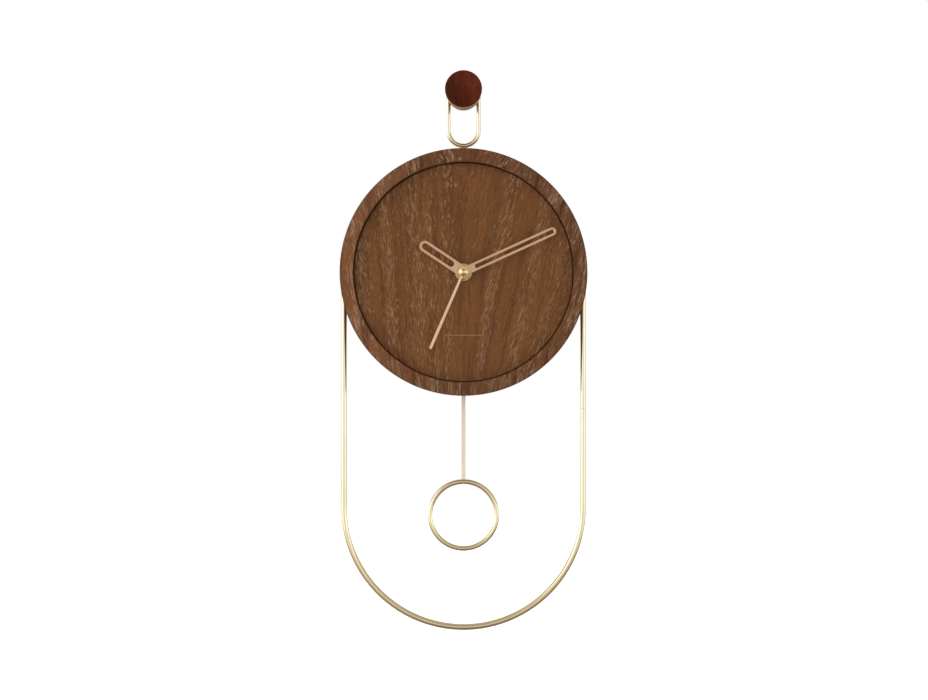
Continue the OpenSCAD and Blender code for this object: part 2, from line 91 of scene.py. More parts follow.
class Nodes:
    """Adds and joins the nodes of one tree."""

    def __init__(self, tree):
        self.tree = tree

    def node(self, kind, **settings):
        n = self.tree.nodes.new(kind)
        for key, value in settings.items():
            setattr(n, key, value)
        return n

    def join(self, source, target):
        self.tree.links.new(source, target)

    def split(self, vector):
        """The X, Y and Z of a vector."""
        parts = self.node("ShaderNodeSeparateXYZ")
        self.join(vector, parts.inputs[0])
        return tuple(parts.outputs)

    def ramp(self, fac, stops, smooth=False):
        """A colour or level that changes along fac by way of its stops."""
        r = self.node("ShaderNodeValToRGB")
        if smooth:
            r.color_ramp.interpolation = "EASE"
        elements = r.color_ramp.elements
        while len(elements) < len(stops):
            elements.new(0.5)
        for item, (place, colour) in zip(elements, stops):
            item.position = place
            if not isinstance(colour, (tuple, list)):
                colour = (colour, colour, colour)
            item.color = (*colour, 1)
        self.join(fac, r.inputs["Fac"])
        return r.outputs["Color"]

    def maths(self, operation, *values, clamp=False):
        m = self.node("ShaderNodeMath", operation=operation, use_clamp=clamp)
        for socket, value in zip(m.inputs, values):
            if isinstance(value, (int, float)):
                socket.default_value = value
            else:
                self.join(value, socket)
        return m.outputs[0]


class Shader(Nodes):
    """Builds one procedural material."""

    def __init__(self, name):
        self.mat = bpy.data.materials.new(name)
        self.mat.use_nodes = True
        super().__init__(self.mat.node_tree)
        self.bsdf = self.tree.nodes["Principled BSDF"]
        self.coord = self.node("ShaderNodeTexCoord").outputs["Object"]

    def stretch(self, size, offset=(0, 0, 0), source=None):
        """Coordinates in which one unit is size metres along each axis."""
        m = self.node("ShaderNodeMapping")
        m.inputs["Scale"].default_value = [1 / s for s in size]
        m.inputs["Location"].default_value = offset
        self.join(source or self.coord, m.inputs["Vector"])
        return m.outputs["Vector"]

    def noise(self, vector, detail=3.0, rough=0.55, distortion=0.0):
        n = self.node("ShaderNodeTexNoise")
        n.inputs["Scale"].default_value = 1.0
        n.inputs["Detail"].default_value = detail
        n.inputs["Roughness"].default_value = rough
        n.inputs["Distortion"].default_value = distortion
        self.join(vector, n.inputs["Vector"])
        return n.outputs["Fac"]

    def spread(self, fac, low, high, fac_low=0.0, fac_high=1.0, smooth=False):
        """Maps fac from its range to the range low to high."""
        m = self.node("ShaderNodeMapRange", interpolation_type="SMOOTHSTEP" if smooth else "LINEAR")
        m.inputs["From Min"].default_value = fac_low
        m.inputs["From Max"].default_value = fac_high
        m.inputs["To Min"].default_value = low
        m.inputs["To Max"].default_value = high
        self.join(fac, m.inputs["Value"])
        return m.outputs["Result"]

    def between(self, fac, low, high):
        """The value `low` where `fac` is 0 and `high` where it is 1."""
        return self.maths("MULTIPLY_ADD", fac, self.maths("SUBTRACT", high, low), low)

    def mix(self, fac, a, b, blend="MIX"):
        m = self.node("ShaderNodeMix", data_type="RGBA", blend_type=blend)
        if isinstance(fac, (int, float)):
            m.inputs[0].default_value = fac
        else:
            self.join(fac, m.inputs[0])
        for i, value in ((6, a), (7, b)):
            if isinstance(value, (tuple, list)):
                m.inputs[i].default_value = (*value, 1)
            else:
                self.join(value, m.inputs[i])
        return m.outputs[2]

    def bump(self, height, depth, strength):
        b = self.node("ShaderNodeBump")
        b.inputs["Strength"].default_value = strength
        b.inputs["Distance"].default_value = depth
        self.join(height, b.inputs["Height"])
        return b.outputs["Normal"]

    def finish(self, colour=None, rough=None, normal=None, **values):
        for socket, value in (("Base Color", colour), ("Roughness", rough), ("Normal", normal)):
            if value is None:
                continue
            if isinstance(value, (int, float)):
                self.bsdf.inputs[socket].default_value = value
            elif isinstance(value, (tuple, list)):
                self.bsdf.inputs[socket].default_value = (*value, 1)
            else:
                self.join(value, self.bsdf.inputs[socket])
        for socket, value in values.items():
            self.bsdf.inputs[socket.replace("_", " ")].default_value = value
        return self.mat


def grain_space(s, offset, walls):
    """Coordinates along the grain, which is upright on the left and leans on the right.

    Inside the first radius of `walls` and outside the second, the grain follows a band that runs
    round the case and meets at the bottom.
    Gives the grain's own space, the steeper space of the pores, the place across the grain, X and
    how far the point is on the band, from 0 to 1.
    """
    x, y, z = s.split(s.coord)
    height = s.maths("SUBTRACT", z, DIAL_Z)
    lean = s.spread(x, -0.08, 0.24, -0.040, 0.045, smooth=True)
    slow = s.spread(s.noise(s.stretch((0.050, 0.09, 0.10), offset), 2.0, 0.5), -0.006, 0.006)
    quick = s.spread(s.noise(s.stretch((0.030, 0.05, 0.011), offset), 2.0, 0.5), -0.0018, 0.0018)
    across = s.maths("SUBTRACT", x, s.maths("MULTIPLY", lean, height))
    across = s.maths("ADD", across, s.maths("ADD", slow, quick))
    steeper = s.maths("SUBTRACT", across, s.maths("MULTIPLY", s.maths("MULTIPLY", lean, 0.7), height))
    radius = s.maths("SQRT", s.maths("MULTIPLY_ADD", x, x, s.maths("MULTIPLY", height, height)))
    on_band = s.maths("MAXIMUM", s.maths("LESS_THAN", radius, walls[0]),
                      s.maths("GREATER_THAN", radius, walls[1]))
    round_it = s.maths("MULTIPLY", s.maths("ARCTAN2", x, height), BAND_RADIUS)
    band_across = s.maths("ADD", y, s.maths("MULTIPLY", quick, 0.5))
    spaces = []
    for place in (across, steeper):
        joined = s.node("ShaderNodeCombineXYZ")
        s.join(s.between(on_band, place, band_across), joined.inputs["X"])
        s.join(s.between(on_band, y, radius), joined.inputs["Y"])
        s.join(s.between(on_band, z, round_it), joined.inputs["Z"])
        spaces.append(joined.outputs[0])
    return spaces[0], spaces[1], across, x, on_band


def veneer(name, tones, pore_tone, offset, columns=None, sides=(1.0, 1.0), contrast=0.31,
           pore_amount=0.55, pore_length=0.0050, fibre_length=0.012, walls=(0.0, 1.0)):
    """Open-pored stained oak with the grain along Z and pale pores gathered in flame-shaped columns.

    `columns` sets how thick the pores stand across the dial, `sides` the painted light on the left and on
    the right, and `walls` the radii past which the grain runs round the case.
    """
    s = Shader(name)
    grain, slant, across, x, on_band = grain_space(s, offset, walls)
    figure = s.noise(s.stretch((0.0070, 0.02, 0.13), offset, grain), 3.0, 0.6)
    colour = s.ramp(figure, list(zip((0.34, 0.43, 0.50, 0.57, 0.66), tones)))
    fibre = s.noise(s.stretch((0.0007, 0.0012, fibre_length), offset, grain), 4.0, 0.68)
    fleck = s.noise(s.stretch((0.0007, 0.0010, 0.0024), offset, grain), 2.0, 0.5)
    light = s.maths("MULTIPLY", s.spread(fibre, 1 - contrast, 1 + contrast, 0.28, 0.72),
                    s.spread(fleck, 0.85, 1.13, 0.3, 0.7))
    # Painted light: the front faces are scaled by sides[0] at the left edge, easing to sides[1] from just
    # left of the middle on, which paints the case's rim brighter on its left; the band round the case is not
    # scaled.
    painted_side_light = s.spread(x, sides[0], sides[1], -0.090, -0.010, smooth=True)
    light = s.maths("MULTIPLY", light, s.between(on_band, painted_side_light, 1.0))
    colour = s.mix(1.0, colour, light, "MULTIPLY")
    shifted = (offset[0] + 5, offset[1], offset[2])
    clumps = s.noise(s.stretch((0.010, 0.02, 0.045), shifted, grain), 2.0, 0.5)
    groups = s.spread(clumps, 0.0, 1.0, 0.35, 0.65)
    if columns:
        place = s.spread(across, 0.0, 1.0, -0.1, 0.1)
        groups = s.maths("MULTIPLY", s.ramp(place, columns), s.maths("MULTIPLY_ADD", groups, 0.5, 0.65))
    limit = s.spread(groups, 0.68, 0.45)
    pore = s.noise(s.stretch((0.00075, 0.0012, pore_length), offset, slant), 2.0, 0.55, 0.25)
    mask = s.maths("MULTIPLY", s.maths("SUBTRACT", pore, limit), 13.0, clamp=True)
    filled = s.noise(s.stretch((0.002, 0.01, 0.004), offset, grain), 2.0)
    amount = s.spread(filled, pore_amount * 0.4, pore_amount * 1.4, 0.3, 0.7)
    amount = s.maths("MULTIPLY", amount, s.maths("MULTIPLY_ADD", on_band, -0.45, 1.0))
    colour = s.mix(s.maths("MULTIPLY", mask, amount), colour, pore_tone)
    aside = (offset[0] + 2, offset[1] + 7, offset[2])
    slit = s.noise(s.stretch((0.0008, 0.0012, 0.009), aside, grain), 2.0, 0.5)
    dark = s.maths("MULTIPLY", s.maths("SUBTRACT", slit, 0.60), 9.0, clamp=True)
    colour = s.mix(s.maths("MULTIPLY", dark, 0.32), colour, tone(60, 38, 21))
    height = s.maths("SUBTRACT", fibre, s.maths("MULTIPLY_ADD", mask, 0.35, s.maths("MULTIPLY", dark, 0.7)))
    rough = s.spread(fibre, 0.52, 0.72)
    return s.finish(colour, rough, s.bump(height, 0.00012, 0.6), Specular_IOR_Level=0.14)


def dark_timber(name):
    """Red-brown stained face with an upright grain and painted shade towards its lower left, over paler
    turned sides whose pale tone is partly painted light from below.
    """
    s = Shader(name)
    x, y, z = s.split(s.coord)
    squares = s.maths("ADD", s.maths("MULTIPLY", x, x), s.maths("MULTIPLY", z, z))
    # Painted shade: the knob's face is darker towards the lower left and lighter towards the upper right.
    painted_face_shade = s.spread(s.maths("MULTIPLY_ADD", z, 0.7, x), 0.70, 1.16, -0.013, 0.011, smooth=True)
    face_depth = s.spread(s.maths("SQRT", squares), 0.0030, 0.0005, 0.0132, 0.0138)
    behind = s.maths("SUBTRACT", s.maths("SUBTRACT", y, KNOB_FRONT), face_depth)
    side = s.spread(behind, 0.0, 1.0, 0.0, 0.0006)
    figure = s.noise(s.stretch((0.0035, 0.03, 0.012)), 4.0, 0.6, 0.8)
    face = s.ramp(figure, [(0.30, tone(74, 28, 14)), (0.50, tone(87, 35, 18)), (0.70, tone(99, 42, 22))])
    # Paler tone for the turned sides, partly the wood's own and partly painted light standing in for the
    # light the knob's underside catches from below.
    pale = s.ramp(figure, [(0.30, tone(168, 118, 94)), (0.50, tone(192, 142, 116)),
                           (0.70, tone(208, 162, 134))])
    colour = s.mix(side, s.mix(1.0, face, painted_face_shade, "MULTIPLY"), pale)
    ray = s.noise(s.stretch((0.0006, 0.005, 0.004)), 3.0, 0.6)
    colour = s.mix(1.0, colour, s.spread(ray, 0.82, 1.18, 0.3, 0.7), "MULTIPLY")
    rough = s.spread(ray, 0.42, 0.56)
    return s.finish(colour, rough, s.bump(ray, 0.00004, 0.5), Specular_IOR_Level=0.08)


def plated(name, hue, low, high, cell=(0.0009, 0.0009, 0.0009), depth=0.000003, metal=1.0):
    """Polished or brushed metal with faint smears in its polish."""
    s = Shader(name)
    lines = s.noise(s.stretch(cell), 3.0, 0.6)
    smear = s.noise(s.stretch((0.012, 0.012, 0.02)), 3.0, 0.55)
    both = s.maths("ADD", s.maths("MULTIPLY", lines, 0.5), s.maths("MULTIPLY", smear, 0.5))
    rough = s.spread(both, low, high)
    worn = tuple(c * 0.92 for c in hue)
    colour = s.mix(s.ramp(smear, [(0.35, 0.0), (0.70, 1.0)]), hue, worn)
    return s.finish(colour, rough, s.bump(lines, depth, 0.6), Metallic=metal)


def moulded(name, hue, rough_low, rough_high, grain=0.0004, depth=0.00002):
    """Moulded plastic with a fine spark texture and faint flow marks."""
    s = Shader(name)
    spark = s.noise(s.stretch((grain, grain, grain)), 2.0, 0.5)
    flow = s.noise(s.stretch((0.015, 0.015, 0.025)), 2.0, 0.5, 0.8)
    lighter = tuple(min(1, c * 1.14 + 0.004) for c in hue)
    colour = s.mix(s.ramp(flow, [(0.3, 0.0), (0.75, 1.0)]), hue, lighter)
    return s.finish(colour, s.spread(spark, rough_low, rough_high), s.bump(spark, depth, 0.6))


def shrink_wrap(name):
    """Glossy printed sleeve, red with a black band at the cell's positive end."""
    s = Shader(name)
    along = s.split(s.coord)[0]
    band = s.spread(along, 0.0, 1.0, CELL_BAND, CELL_BAND + 0.0002)
    line = s.spread(s.maths("ABSOLUTE", s.maths("SUBTRACT", along, CELL_BAND)), 1.0, 0.0, 0.0005, 0.0006)
    wrinkle = s.noise(s.stretch((0.006, 0.002, 0.002)), 3.0, 0.6)
    colour = s.mix(1.0, (0.36, 0.020, 0.014), s.spread(wrinkle, 0.85, 1.12, 0.3, 0.7), "MULTIPLY")
    colour = s.mix(line, s.mix(band, colour, (0.012, 0.012, 0.014)), (0.62, 0.55, 0.36))
    return s.finish(colour, s.spread(wrinkle, 0.16, 0.28), s.bump(wrinkle, 0.00002, 0.5))


def winding(name, turn_size):
    """Enamelled wire laid turn by turn, with painted shade between the turns and painted light on their
    crests.
    """
    s = Shader(name)
    w = s.node("ShaderNodeTexWave", wave_type="BANDS", bands_direction="X", wave_profile="SIN")
    w.inputs["Scale"].default_value = 1.0
    w.inputs["Distortion"].default_value = 0.6
    w.inputs["Detail"].default_value = 1.0
    s.join(s.stretch((turn_size, turn_size, turn_size)), w.inputs["Vector"])
    turn = w.outputs["Fac"]
    # Painted light and shade: each turn is dark in the groove between turns and bright copper on its crest.
    stops = [(0.0, (0.20, 0.055, 0.018)), (0.6, (0.60, 0.22, 0.085)), (1.0, (0.78, 0.34, 0.15))]
    return s.finish(s.ramp(turn, stops), s.spread(turn, 0.42, 0.26), s.bump(turn, 0.00006, 0.9),
                    Metallic=0.85)


def circuit(name):
    """Solder mask with faint tracks under it."""
    s = Shader(name)
    b = s.node("ShaderNodeTexBrick")
    b.inputs["Scale"].default_value = 1.0
    b.inputs["Mortar Size"].default_value = 0.06
    b.inputs["Color1"].default_value = (0.010, 0.085, 0.035, 1)
    b.inputs["Color2"].default_value = (0.012, 0.100, 0.042, 1)
    b.inputs["Mortar"].default_value = (0.050, 0.22, 0.09, 1)
    swap = s.node("ShaderNodeMapping")
    swap.inputs["Rotation"].default_value = (math.pi / 2, 0, 0)
    swap.inputs["Scale"].default_value = (300, 300, 300)
    s.join(s.coord, swap.inputs["Vector"])
    s.join(swap.outputs["Vector"], b.inputs["Vector"])
    mottled = s.noise(s.stretch((0.002, 0.002, 0.002)), 3.0)
    colour = s.mix(0.25, b.outputs["Color"], s.ramp(mottled, [(0.3, 0.4), (0.7, 1.0)]), "MULTIPLY")
    return s.finish(colour, s.spread(mottled, 0.22, 0.34), s.bump(b.outputs["Fac"], 0.00003, 0.5))


def soft_pad(name, hue):
    """Rubber or felt with a fine nap."""
    s = Shader(name)
    nap = s.noise(s.stretch((0.0004, 0.0004, 0.0004)), 4.0, 0.7)
    colour = s.mix(1.0, hue, s.ramp(nap, [(0.25, 0.65), (0.75, 1.3)]), "MULTIPLY")
    return s.finish(colour, s.spread(nap, 0.75, 0.95), s.bump(nap, 0.0001, 0.8), Sheen_Weight=0.2)


def ink(name, hue):
    """Thin printed foil over the open grain."""
    s = Shader(name)
    broken = s.noise(s.stretch((0.0006, 0.003, 0.002)), 3.0, 0.6)
    colour = s.mix(1.0, hue, s.ramp(broken, [(0.3, 0.75), (0.6, 1.05)]), "MULTIPLY")
    return s.finish(colour, s.spread(broken, 0.35, 0.6), s.bump(broken, 0.00002, 0.5), Metallic=0.5)


DIAL_TONES = [tone(104, 66, 38), tone(110, 72, 43), tone(116, 78, 46), tone(121, 79, 44), tone(118, 78, 46)]
RIM_TONES = [tone(78, 49, 31), tone(96, 63, 41), tone(106, 71, 47), tone(114, 74, 47), tone(104, 66, 44)]
DIAL_PORES = tone(166, 134, 106)
RIM_PORES = tone(162, 134, 112)
# How thickly the pale pores stand, from the dial's left edge to its right.
PORE_COLUMNS = [
    (0.0, 0.6), (0.095, 0.8), (0.14, 0.3), (0.20, 0.9), (0.25, 0.25), (0.32, 0.9), (0.35, 0.35), (0.375, 0.8),
    (0.40, 0.25), (0.43, 0.85), (0.47, 0.15), (0.56, 0.05), (0.59, 0.15), (0.615, 1.0), (0.645, 0.85),
    (0.665, 0.1), (0.73, 0.1), (0.76, 0.95), (0.785, 0.8), (0.81, 0.15), (0.87, 0.8), (0.93, 0.3), (1.0, 0.5)]

MATERIALS = {
    "dial_veneer": veneer("dial_veneer", DIAL_TONES, DIAL_PORES, (3.1, 1.7, 2.3), PORE_COLUMNS),
    "case_veneer": veneer("case_veneer", RIM_TONES, RIM_PORES, (9.4, 4.2, 6.6), sides=(1.36, 0.96),
                          contrast=0.36, pore_amount=0.66, pore_length=0.0065, fibre_length=0.009,
                          walls=CASE_WALLS),
    "knob_timber": dark_timber("knob_timber"),
    "pale_brass": plated("pale_brass", (0.90, 0.83, 0.61), 0.10, 0.20),
    "ring_brass": plated("ring_brass", (0.90, 0.83, 0.58), 0.10, 0.20),
    "satin_brass": plated("satin_brass", (0.96, 0.88, 0.76), 0.34, 0.46, metal=0.3),
    "turned_brass": plated("turned_brass", (0.90, 0.76, 0.42), 0.14, 0.24),
    # Darker brass for the nut and washer under the hands, partly their own tone and partly painted shade from
    # the hands' hubs above them.
    "nut_brass_with_painted_shade": plated("nut_brass_with_painted_shade", (0.63, 0.45, 0.21), 0.16, 0.28),
    "steel": plated("steel", (0.62, 0.62, 0.63), 0.28, 0.42, (0.0004, 0.0004, 0.003)),
    "champagne": plated("champagne", (0.77, 0.53, 0.345), 0.36, 0.48, (0.0003, 0.0003, 0.0003), 0.000006),
    "light_champagne": plated("light_champagne", (0.98, 0.72, 0.49), 0.30, 0.42, (0.0003, 0.0003, 0.0003),
                              0.000006),
    "foil": ink("foil", tone(170, 130, 80)),
    "black_plastic": moulded("black_plastic", (0.014, 0.014, 0.016), 0.42, 0.60),
    "white_plastic": moulded("white_plastic", (0.72, 0.71, 0.66), 0.30, 0.44),
    "copper_wire": winding("copper_wire", 0.0012),
    "board_green": circuit("board_green"),
    "ferrite": moulded("ferrite", (0.055, 0.055, 0.062), 0.40, 0.62, 0.0003, 0.00003),
    "cell_wrap": shrink_wrap("cell_wrap"),
    "rubber": soft_pad("rubber", (0.016, 0.016, 0.016)),
    "felt_grey": soft_pad("felt_grey", (0.085, 0.088, 0.095)),
}

# Nodes whose look is finer than their slot's usual one.
SPECIAL = {
    "dial_board": "dial_veneer",
    "dial_ledge": "case_veneer",
    "case_ring": "case_veneer",
    "dial_nut": "nut_brass_with_painted_shade",
    "dial_washer": "nut_brass_with_painted_shade",
    "centre_bush": "turned_brass",
    "pendulum_rod": "satin_brass",
    "pendulum_ring": "ring_brass",
}
record_slot = {p["node"]: p["material_slot"] for p in frame["record"]["subparts"]}
for name, obj in nodes.items():
    obj.data.materials.clear()
    obj.data.materials.append(MATERIALS[SPECIAL.get(name) or record_slot[name]])


# ------------------------------------------------------------------ pieces

def add_piece(name, mesh, material, body, stands_for=(), sharp=35):
    """Piece that rides on a body, smooth except where its faces meet at more than `sharp` degrees."""
    mesh.shade_smooth()
    mesh.set_sharp_from_angle(angle=math.radians(sharp))
    mesh.materials.clear()
    mesh.materials.append(MATERIALS[material])
    piece = bpy.data.objects.new(name, mesh)
    bpy.context.collection.objects.link(piece)
    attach(piece, body)
    if stands_for:
        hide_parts(*stands_for)


def arc(x, y, radius, start, end, steps):
    """Points on a circle, angles in degrees, both ends included."""
    turns = (math.radians(start + (end - start) * i / steps) for i in range(steps + 1))
    return [(x + radius * math.cos(a), y + radius * math.sin(a)) for a in turns]


def bar_outline(width, low, high, steps=20):
    """Upright bar with round ends, in millimetres."""
    half = width / 2
    return arc(0, high - half, half, 0, 180, steps) + arc(0, low + half, half, 180, 360, steps)


def circle_outline(radius):
    return arc(0, 0, radius, 0, 360, 48)[:-1]


def rounded_box(left, low, right, high, corner, steps=6):
    """Rectangle with round corners, in millimetres."""
    return (arc(right - corner, high - corner, corner, 0, 90, steps)
            + arc(left + corner, high - corner, corner, 90, 180, steps)
            + arc(left + corner, low + corner, corner, 180, 270, steps)
            + arc(right - corner, low + corner, corner, 270, 360, steps))


def flat_mesh(outer, holes, front, back, edge, turn=0.0, centre=(0, 0)):
    """Flat plate of given outlines in the dial plane, with rounded edges, between two depths.

    Outlines are in millimetres from the centre, front and back in metres along Y, turn is
    clockwise in degrees as seen from the front, and edge is the radius of the rounding in metres.
    """
    curve = bpy.data.curves.new("outline", "CURVE")
    curve.dimensions = "2D"
    curve.fill_mode = "BOTH"
    curve.extrude = (back - front) / 2 - edge
    curve.bevel_depth = edge
    curve.bevel_resolution = 3
    curve.offset = -edge
    for outline in [outer, *holes]:
        spline = curve.splines.new("POLY")
        spline.points.add(len(outline) - 1)
        spline.use_cyclic_u = True
        for point, (x, y) in zip(spline.points, outline):
            point.co = (x * MM, y * MM, 0, 1)
    holder = bpy.data.objects.new("outline", curve)
    bpy.context.collection.objects.link(holder)
    graph = bpy.context.evaluated_depsgraph_get()
    mesh = bpy.data.meshes.new_from_object(holder.evaluated_get(graph))
    bpy.data.objects.remove(holder)
    bpy.data.curves.remove(curve)
    upright = Matrix.Rotation(math.pi / 2, 4, "X")
    clockwise = Matrix.Rotation(math.radians(turn), 4, "Y")
    place = Matrix.Translation((centre[0], (front + back) / 2, centre[1]))
    mesh.transform(place @ clockwise @ upright)
    bm = bmesh.new()
    bm.from_mesh(mesh)
    bmesh.ops.remove_doubles(bm, verts=bm.verts, dist=1e-7)
    bmesh.ops.recalc_face_normals(bm, faces=bm.faces)
    bm.to_mesh(mesh)
    bm.free()
    return mesh


def lathe_mesh(profile, axis, place, segments=96):
    """Closed turned solid: profile is (radius, distance along the axis) in millimetres."""
    bm = bmesh.new()
    rings = []
    for radius, along in profile:
        if radius < 1e-6:
            rings.append([bm.verts.new((0, 0, along * MM))])
            continue
        steps = (2 * math.pi * i / segments for i in range(segments))
        rings.append([bm.verts.new((radius * MM * math.cos(a), radius * MM * math.sin(a), along * MM))
                      for a in steps])
    for one, two in zip(rings, rings[1:] + rings[:1]):
        if len(one) == 1 and len(two) == 1:
            continue
        for i in range(segments):
            j = (i + 1) % segments
            if len(one) == 1:
                bm.faces.new((one[0], two[j], two[i]))
            elif len(two) == 1:
                bm.faces.new((one[i], one[j], two[0]))
            else:
                bm.faces.new((one[i], one[j], two[j], two[i]))
    bmesh.ops.recalc_face_normals(bm, faces=bm.faces)
    mesh = bpy.data.meshes.new("turned")
    bm.to_mesh(mesh)
    bm.free()
    spin = Vector((0, 0, 1)).rotation_difference(Vector(axis)).to_matrix().to_4x4()
    mesh.transform(Matrix.Translation(place) @ spin)
    return mesh


def hand_direction(node):
    """How far a hand reaches, in millimetres, and where it points, in degrees clockwise from twelve."""
    points = [v.co - DIAL for v in nodes[node].data.vertices]
    flat = [Vector((p.x, p.z)) for p in points]
    reach = max(p.length for p in flat)
    outer = [p for p in flat if p.length > 0.8 * reach]
    tip = sum(outer, Vector((0, 0))) / len(outer)
    return reach / MM, math.degrees(math.atan2(tip.x, tip.y))


HAND_EDGE = 0.00012


def add_hand(node, body, outer, holes, turn, material="champagne"):
    """Hand with eased edges that stands for its node."""
    low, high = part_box(node)
    mesh = flat_mesh(outer, holes, low[1], high[1], HAND_EDGE, turn, (DIAL_X, DIAL_Z))
    add_piece(node + "_blank", mesh, material, body, [node], 50)


# Hands, in millimetres: each slot starts at its foot and stops short of the tip.
HOUR_WIDTH, HOUR_WALL, HOUR_FOOT, HOUR_BORE = 9.1, 2.1, 9.6, 2.8
MINUTE_WIDTH, MINUTE_SLOT, MINUTE_BORE = 6.9, 2.95, 1.95
MINUTE_FOOT, MINUTE_END, MINUTE_CORNER = 10.4, 2.3, 0.35
SECOND_TIP_R, SECOND_HUB_R, SECOND_BORE = 1.2, 2.2, 0.9
SECOND_HALF_WIDTH = 0.97

reach, turn = hand_direction("hour_hand")
add_hand("hour_hand", "hour", bar_outline(HOUR_WIDTH, -HOUR_WIDTH / 2, reach),
         [bar_outline(HOUR_WIDTH - 2 * HOUR_WALL, HOUR_FOOT, reach - HOUR_WALL), circle_outline(HOUR_BORE)],
         turn)

reach, turn = hand_direction("minute_hand")
minute_slot = rounded_box(-MINUTE_SLOT / 2, MINUTE_FOOT, MINUTE_SLOT / 2, reach - MINUTE_END,
                          MINUTE_CORNER, 4)
add_hand("minute_hand", "minute", bar_outline(MINUTE_WIDTH, -MINUTE_WIDTH / 2, reach),
         [minute_slot, circle_outline(MINUTE_BORE)], turn)

reach, turn = hand_direction("second_hand")
hub_meet = math.degrees(math.acos(SECOND_HALF_WIDTH / SECOND_HUB_R))
second_outline = (arc(0, reach - SECOND_TIP_R, SECOND_TIP_R, 0, 180, 12)
                  + arc(0, 0, SECOND_HUB_R, 180 - hub_meet, 360 + hub_meet, 40))
add_hand("second_hand", "second", second_outline, [circle_outline(SECOND_BORE)], turn, "light_champagne")


def cap_profile():
    """Domed cap over the hands with a small dimple, radius and depth from the wall in millimetres."""
    back = -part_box("second_cap")[1][1] / MM
    front = -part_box("second_cap")[0][1] / MM
    dome, rim = 5.6, 4.0
    spread = math.degrees(math.asin((rim - 0.12) / dome))
    inside = [(0, front - 1.0), (0.88, front - 1.0), (0.88, back)]
    skirt = [(rim - 0.25, back), (rim, back + 0.15), (rim, back + 0.3)]
    crown = arc(0, front - dome, dome, 90 - spread, 85, 16)
    dimple = [(0.40, front - 0.06), (0.28, front - 0.20), (0.14, front - 0.26), (0, front - 0.28)]
    return inside + skirt + crown[1:] + dimple


add_piece("second_cap_turned", lathe_mesh(cap_profile(), (0, -1, 0), (DIAL_X, 0, DIAL_Z)),
          "turned_brass", "second", ["second_cap"], 28)

# A plain hairline of foil on the dial's lower half.
LINE_LENGTH, LINE_WIDTH, LINE_DROP = 29.6, 0.55, 51.0
line = [(x, y - LINE_DROP) for y, x in bar_outline(LINE_WIDTH, -LINE_LENGTH / 2, LINE_LENGTH / 2, 6)]
hairline = flat_mesh(line[::-1], [], DIAL_FRONT - 0.00005, DIAL_FRONT + 0.00001, 0.00001,
                     centre=(DIAL_X, DIAL_Z))
add_piece("dial_hairline", hairline, "foil", "clock")

# The cell: a shrink-wrapped sleeve between two nickel ends, (radius, distance from its middle) in
# millimetres, with the sleeve held just inside its node's two shoulders.
cell_low, cell_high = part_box("battery_cell")
CELL = middle("battery_cell")
CELL_HALF = (cell_high[0] - cell_low[0]) / 2 / MM
CELL_R = (cell_high[2] - cell_low[2]) / 2 / MM
sleeve = ([(5.6, 0.9 - CELL_HALF)] + arc(CELL_R - 0.7, 1.0 - CELL_HALF, 0.7, 270, 360, 5)
          + arc(CELL_R - 0.7, CELL_HALF - 2.1, 0.7, 0, 90, 5) + [(5.4, CELL_HALF - 1.9)])
sleeve = [(r, min(max(s, 0.32 - CELL_HALF), CELL_HALF - 1.42)) for r, s in sleeve]
minus_end = [(0, 1.4 - CELL_HALF), (6.2, 1.4 - CELL_HALF), (6.2, 0.55 - CELL_HALF), (5.4, 0.45 - CELL_HALF),
             (4.7, 0.35 - CELL_HALF), (4.5, 0.05 - CELL_HALF), (4.3, -CELL_HALF), (0, -CELL_HALF)]
plus_end = [(0, CELL_HALF - 2.6), (6.2, CELL_HALF - 2.6), (6.2, CELL_HALF - 1.75), (3.2, CELL_HALF - 1.6),
            (2.95, CELL_HALF - 1.4), (2.75, CELL_HALF - 0.3), (2.45, CELL_HALF), (0, CELL_HALF)]
for name, profile, look, stands_for in (("cell_sleeve", sleeve, "cell_wrap", ["battery_cell"]),
                                        ("cell_minus_end", minus_end, "steel", []),
                                        ("cell_plus_end", plus_end, "steel", [])):
    add_piece(name, lathe_mesh(profile, (1, 0, 0), CELL), look, "battery", stands_for, 30)

# Raised mouldings on the back of the movement: a panel's border, the cell's polarity, a turning
# arrow under the setting knob and two ribs on the tail.
COVER_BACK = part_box("movement_back")[1][1]
RAISED = 0.0008


def add_moulding(name, outer, holes=()):
    """Raised shape on the movement's back."""
    mesh = flat_mesh(outer, holes, COVER_BACK - 0.00005, COVER_BACK + RAISED, 0.0001,
                     centre=(DIAL_X, DIAL_Z))
    add_piece(name, mesh, "black_plastic", "clock", (), 40)


def arrow_outline(x, y, radius, width, start, end):
    """Curved arrow with a head at both ends."""
    head, swell = 13, 1.0
    inner, outer = radius - width / 2, radius + width / 2

    def point(r, angle):
        return arc(x, y, r, angle, angle, 1)[0]

    return ([point(radius, start - head), point(outer + swell, start)] + arc(x, y, outer, start, end, 24)
            + [point(outer + swell, end), point(radius, end + head), point(inner - swell, end)]
            + arc(x, y, inner, end, start, 24) + [point(inner - swell, start)])


SETTING = middle("setting_knob")
setting_x, setting_y = (SETTING.x - DIAL_X) / MM, (SETTING.z - DIAL_Z) / MM
add_moulding("cover_panel_border", rounded_box(-4.5, -7.6, 25.2, 25.2, 2.0),
             [rounded_box(-3.7, -6.8, 24.4, 24.4, 1.2)[::-1]])
add_moulding("cover_arrow", arrow_outline(setting_x, setting_y, 9.3, 0.7, 215, 325))
add_moulding("cover_minus", rounded_box(-23.6, -10.5, -20.2, -9.7, 0.2))
